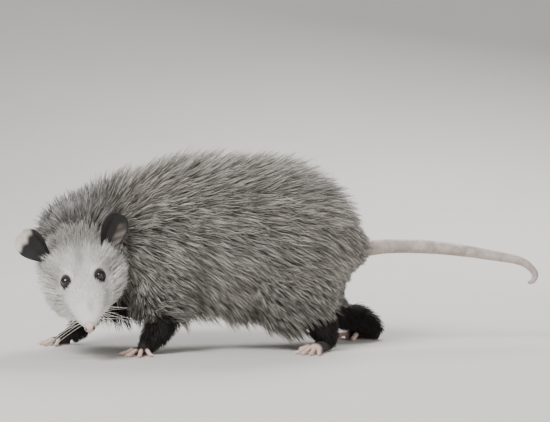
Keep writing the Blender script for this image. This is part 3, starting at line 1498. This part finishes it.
def make_claws():
    """The short claws of all digits but the hind thumbs."""
    parts = []
    for name in PAWS:
        parts += [claw(*digit[:4]) for digit in paw_layout(name) if digit[4]]
    obj = plain_join("claws", parts, settings()[1].claw)
    # Claw horn, grown and worn: pale, smooth and slightly glossy.
    settle(obj, "claws", leather_material("horn_claw", 0.0008, 0.00003, 0.35, 0.2))


def make_whiskers():
    """Pale stiff whiskers in rows on both sides of the snout, and a few over each eye."""
    coat, colours = settings()
    rng = np.random.default_rng(41)
    place = head_matrix()
    parts = []

    def whisker(start, way, length, sag):
        rows = []
        for t in np.linspace(0, 1, 12):
            at = place @ start + way * (length * t) - Vector((0, 0, sag * t * t))
            at.z = max(at.z, WHISKER_GAP)
            rows.append((*at, coat.whisker_width / 2 * (1 - 0.85 * t)))
        parts.append(tube("whisker", rows, 12, 5))

    # On each side the fan runs from the top row, which points up or level, to the lowest one.
    rows, in_row = 4, coat.whiskers_in_row
    for sign, top, bottom, reach in ((1, 30.0, -62.0, 0.036), (-1, 6.0, -42.0, 0.052)):
        for row in range(rows):
            for k in range(in_row):
                out, back, up = 0.0086 + 0.0012 * k, 0.0125 + 0.0040 * k, 0.0030 - 0.0028 * row
                share = (row + (k + 0.4 * rng.random()) / in_row) / rows
                angle = math.radians(top + (bottom - top) * share)
                way = Vector((sign * math.cos(angle), -0.25 + 0.45 * rng.random(), math.sin(angle)))
                length = reach * rng.uniform(0.62, 1.15)
                whisker(Vector((sign * out, back, up)), way.normalized(), length, rng.uniform(0.003, 0.009))
        for k in range(2):
            start = Vector((sign * (0.0175 + 0.002 * k), EYE_BACK + 0.008, EYE_UP + 0.0085))
            whisker(start, Vector((sign * 0.55, 0.10, 0.60)).normalized(), 0.018 + 0.008 * k, 0.0)
    obj = plain_join("whiskers", parts, colours.whisker)
    # Whisker keratin: stiff, pale and a little glossy.
    settle(obj, "whiskers", hair_material("whisker_keratin", 0.4, 0.0))


def make_body_coat():
    """The underfur, then the guard hairs over it."""
    coat, colours = settings()
    rng = np.random.default_rng(11)
    tints = (colours.under_root, colours.under_middle, colours.under_middle, colours.guard_middle)
    tufts = body_tufts(coat.under_count, rng, 0.62, coat.under_width / 2, tints, 0.3)
    # Woolly underfur: matt and soft, with hardly a gloss.
    material = hair_material("woolly_underfur", 0.75, 0.2, 0.16)
    grow_coat("underfur", tufts, rng, 3600, 0.45, material, 2)
    tints = (colours.under_root, colours.guard_middle, colours.guard_middle, colours.guard_tip)
    tufts = body_tufts(coat.guard_count, rng, 1.0, coat.guard_width / 2, tints, 0.42)
    # Guard hairs: long and coarse, with a soft gloss on their pale ends.
    material = hair_material("guard_hair", 0.5, 0.15, 0.16)
    grow_coat("guard_hair", tufts, rng, 6000, 0.62, material)


def make_face_coat():
    """The short fur of the head, then the longer fur of cheeks, throat, crown and temples."""
    coat, _ = settings()
    rng = np.random.default_rng(23)
    # White face fur: fine and soft, a bright even white.
    material = hair_material("white_fur", 0.6, 0.25)
    tufts = face_tufts(coat.face_count, rng, False)
    grow_coat("face_fur", tufts, rng, 4200, 0.25, material, 2)
    tufts = face_tufts(coat.cheek_count, rng, True)
    grow_coat("cheek_fur", tufts, rng, 1500, 0.45, material)


def make_leg_coat():
    """The black fur of the legs, then the shortest hair on hands and feet."""
    coat, _ = settings()
    rng = np.random.default_rng(31)
    # Short black fur: dense and dark, with very little sheen.
    material = hair_material("short_black_fur", 0.6, 0.05)
    grow_coat("leg_fur", leg_tufts(coat.leg_count, rng), rng, 900, 0.35, material)
    grow_coat("paw_fur", paw_tufts(coat.paw_count, rng), rng, 300, 0.10, material, 2)


def make_stage():
    """A pale sweep, soft lights and the camera at the photograph's viewing angle."""
    stage = bpy.context.scene.opossum_stage
    near_edge, bend_at, radius, half_width = -4.0, 0.9, 3.0, 4.5
    table = [(near_edge, 0.0)]
    for turn in np.linspace(0, math.pi / 2, 64):
        table.append((bend_at + radius * math.sin(turn), radius * (1 - math.cos(turn))))
    verts, faces = [], []
    for y, z in table:
        verts += [(-half_width, y, z), (half_width, y, z)]
    for i in range(len(table) - 1):
        faces.append((2 * i, 2 * i + 1, 2 * i + 3, 2 * i + 2))
    mesh = bpy.data.meshes.new("floor")
    mesh.from_pydata(verts, [], faces)
    floor = show("floor", mesh)
    mesh.polygons.foreach_set("use_smooth", np.ones(len(mesh.polygons), bool))
    mesh.materials.append(card_material())
    shift = design_shift()
    for name, at, size, power in (
        ("key", (-1.2, -1.5, 2.1), 1.1, stage.key_power),
        ("fill", (1.6, -1.7, 0.9), 1.6, stage.fill_power),
        ("rim", (0.5, 1.4, 1.5), 1.0, stage.rim_power),
    ):
        light = bpy.data.lights.new(name, "AREA")
        light.size, light.energy = size, power
        lamp = bpy.data.objects.new(name, light)
        lamp.location = Vector(at) + shift
        aim = Vector((-0.05, 0, 0.10)) + shift - lamp.location
        lamp.rotation_euler = aim.to_track_quat("-Z", "Y").to_euler()
        bpy.context.scene.collection.objects.link(lamp)
    world = bpy.data.worlds.new("soft_room")
    world.use_nodes = True
    world.node_tree.nodes.clear()
    air = {"Color": (*linear("E6E8EA"), 1), "Strength": stage.room_light}
    sky = add(world.node_tree, "ShaderNodeBackground", air)
    add(world.node_tree, "ShaderNodeOutputWorld", links={"Surface": sky.outputs[0]})
    bpy.context.scene.world = world
    # 119 mm on a 36 mm wide sensor, 2 m away and level with the back, tipped down 2.87 degrees.
    lens = bpy.data.cameras.new("view")
    lens.lens, lens.sensor_width, lens.sensor_fit = 119.0, 36.0, "HORIZONTAL"
    lens.clip_start, lens.clip_end = 0.01, 50.0
    camera = bpy.data.objects.new("view", lens)
    camera.location = Vector((0.0, -2.0, 0.25)) + shift
    camera.rotation_euler = (math.radians(90.0 - 2.87), 0, 0)
    bpy.context.scene.collection.objects.link(camera)
    bpy.context.scene.camera = camera


# ---- the add-on ----


def metres(name, description, default):
    return bpy.props.FloatProperty(
        name=name,
        description=description,
        default=default,
        min=0.0,
        subtype="DISTANCE",
        unit="LENGTH",
        precision=5,
    )


def colour(name, description, code):
    return bpy.props.FloatVectorProperty(
        name=name,
        description=description,
        default=linear(code),
        size=3,
        min=0.0,
        max=1.0,
        subtype="COLOR",
    )


def number(name, description, default):
    return bpy.props.IntProperty(name=name, description=description, default=default, min=1)


def light_power(name, description, default):
    return bpy.props.FloatProperty(name=name, description=description, default=default, min=0.0)


class CoatSizes(bpy.types.PropertyGroup):
    """How many tufts the coat has and how wide they are."""

    guard_count: number("Guard hairs", "Long outer tufts of the body", 46000)
    under_count: number("Underfur", "Short inner tufts of the body", 16000)
    face_count: number("Face", "Short tufts of the head", 25000)
    cheek_count: number("Cheeks", "Long tufts of cheeks, throat, crown and temples", 11500)
    leg_count: number("Legs", "Tufts of the four legs", 7000)
    paw_count: number("Paws", "Tufts of the hands and feet", 2400)
    guard_width: metres("Guard width", "Width of a guard tuft", 0.00084)
    under_width: metres("Underfur width", "Width of an underfur tuft", 0.0017)
    whisker_width: metres("Whisker width", "Width of a whisker at its root", 0.0005)
    whiskers_in_row: number("Whiskers in a row", "Whiskers in each of the four rows of a side", 4)


class CoatColours(bpy.types.PropertyGroup):
    """Colours of the coat and of the bare skin."""

    face: colour("Face", "White fur of the face", "F2EFE8")
    eye_ring: colour("Eye ring", "Dark skin and hair round the eyes", "2A2320")
    guard_tip: colour("Guard tips", "Pale ends of the guard hairs", "F3EFE8")
    guard_middle: colour("Guard middles", "Middle of the guard hairs", "9A938A")
    under_middle: colour("Underfur", "Ends of the underfur", "5C5550")
    under_root: colour("Roots", "Base of all the body's hairs", "342F2C")
    leg: colour("Legs", "Black-brown of the legs and feet", "1C1816")
    paw: colour("Digits", "Pale skin of fingers and toes", "D9BCB0")
    ear: colour("Ears", "Black of the ears", "1A1717")
    ear_fold: colour("Ear fold", "Paler skin in the fold of the left ear", "6E655F")
    ear_tip: colour("Ear tip", "White tip of the right ear", "D8CEC6")
    nose: colour("Nose", "Bare skin of the nose", "D0B5AC")
    tail: colour("Tail", "Bare skin of the tail", "CFC0B8")
    claw: colour("Claws", "Horn of the claws", "DCCFBD")
    whisker: colour("Whiskers", "Pale whiskers", "E8E2D8")


class StageSizes(bpy.types.PropertyGroup):
    """Strength of the stage's lights."""

    key_power: light_power("Key", "Power of the main light in watts", 88.0)
    fill_power: light_power("Fill", "Power of the fill light in watts", 16.0)
    rim_power: light_power("Rim", "Power of the light from behind in watts", 40.0)
    room_light: light_power("Room", "Strength of the even light of the room", 0.50)


class OPOSSUM_OT_stage(bpy.types.Operator):
    """Adds the pale floor, the soft lights and the camera."""

    bl_idname = "opossum.stage"
    bl_label = "Stage"

    def execute(self, context):
        make_stage()
        return {"FINISHED"}


class OPOSSUM_OT_skin(bpy.types.Operator):
    """Fuses body, head, legs and paws into one skin with its lids and markings."""

    bl_idname = "opossum.skin"
    bl_label = "Skin"

    def execute(self, context):
        make_skin()
        return {"FINISHED"}


class OPOSSUM_OT_tail(bpy.types.Operator):
    """Adds the bare tail with its rings of scales."""

    bl_idname = "opossum.tail"
    bl_label = "Tail"

    def execute(self, context):
        make_tail()
        return {"FINISHED"}


class OPOSSUM_OT_nose(bpy.types.Operator):
    """Adds the nose pad with its nostrils."""

    bl_idname = "opossum.nose"
    bl_label = "Nose"

    def execute(self, context):
        make_nose()
        return {"FINISHED"}


class OPOSSUM_OT_ears(bpy.types.Operator):
    """Adds both ears as thin cups."""

    bl_idname = "opossum.ears"
    bl_label = "Ears"

    def execute(self, context):
        make_ears()
        return {"FINISHED"}


class OPOSSUM_OT_claws(bpy.types.Operator):
    """Adds the claws of fingers and toes."""

    bl_idname = "opossum.claws"
    bl_label = "Claws"

    def execute(self, context):
        make_claws()
        return {"FINISHED"}


class OPOSSUM_OT_eyes(bpy.types.Operator):
    """Adds both eyeballs in their sockets."""

    bl_idname = "opossum.eyes"
    bl_label = "Eyes"

    def execute(self, context):
        make_eyes()
        return {"FINISHED"}


class OPOSSUM_OT_whiskers(bpy.types.Operator):
    """Adds the whiskers of the snout and the brows."""

    bl_idname = "opossum.whiskers"
    bl_label = "Whiskers"

    def execute(self, context):
        make_whiskers()
        return {"FINISHED"}


class OPOSSUM_OT_body_coat(bpy.types.Operator):
    """Grows the underfur and the guard hairs of the body."""

    bl_idname = "opossum.body_coat"
    bl_label = "Body coat"

    def execute(self, context):
        make_body_coat()
        return {"FINISHED"}


class OPOSSUM_OT_face_coat(bpy.types.Operator):
    """Grows the short fur of the head and the longer fur of the cheeks."""

    bl_idname = "opossum.face_coat"
    bl_label = "Face coat"

    def execute(self, context):
        make_face_coat()
        return {"FINISHED"}


class OPOSSUM_OT_leg_coat(bpy.types.Operator):
    """Grows the black fur of the legs and the short hair of the paws."""

    bl_idname = "opossum.leg_coat"
    bl_label = "Leg coat"

    def execute(self, context):
        make_leg_coat()
        return {"FINISHED"}


class OPOSSUM_PT_panel(bpy.types.Panel):
    """Lists the sizes, the colours and the pieces."""

    bl_idname = "OPOSSUM_PT_panel"
    bl_label = "Opossum"
    bl_space_type = "VIEW_3D"
    bl_region_type = "UI"
    bl_category = "Opossum"

    def draw(self, context):
        scene = context.scene
        for group in (scene.opossum_coat, scene.opossum_colours, scene.opossum_stage):
            box = self.layout.box()
            for key in group.__annotations__:
                box.prop(group, key)
        for operator in STEPS:
            self.layout.operator(operator.bl_idname)


STEPS = (
    OPOSSUM_OT_stage,
    OPOSSUM_OT_skin,
    OPOSSUM_OT_tail,
    OPOSSUM_OT_nose,
    OPOSSUM_OT_ears,
    OPOSSUM_OT_claws,
    OPOSSUM_OT_eyes,
    OPOSSUM_OT_whiskers,
    OPOSSUM_OT_body_coat,
    OPOSSUM_OT_face_coat,
    OPOSSUM_OT_leg_coat,
)
GROUPS = (CoatSizes, CoatColours, StageSizes)


def register():
    for item in (*GROUPS, *STEPS, OPOSSUM_PT_panel):
        bpy.utils.register_class(item)
    bpy.types.Scene.opossum_coat = bpy.props.PointerProperty(type=CoatSizes)
    bpy.types.Scene.opossum_colours = bpy.props.PointerProperty(type=CoatColours)
    bpy.types.Scene.opossum_stage = bpy.props.PointerProperty(type=StageSizes)


def unregister():
    del bpy.types.Scene.opossum_coat
    del bpy.types.Scene.opossum_colours
    del bpy.types.Scene.opossum_stage
    for item in reversed((*GROUPS, *STEPS, OPOSSUM_PT_panel)):
        bpy.utils.unregister_class(item)


def main():
    register()
    bpy.ops.opossum.stage()
    bpy.ops.opossum.skin()
    bpy.ops.opossum.tail()
    bpy.ops.opossum.nose()
    bpy.ops.opossum.ears()
    bpy.ops.opossum.claws()
    bpy.ops.opossum.eyes()
    bpy.ops.opossum.whiskers()
    bpy.ops.opossum.body_coat()
    bpy.ops.opossum.face_coat()
    bpy.ops.opossum.leg_coat()


if __name__ == "__main__":
    main()
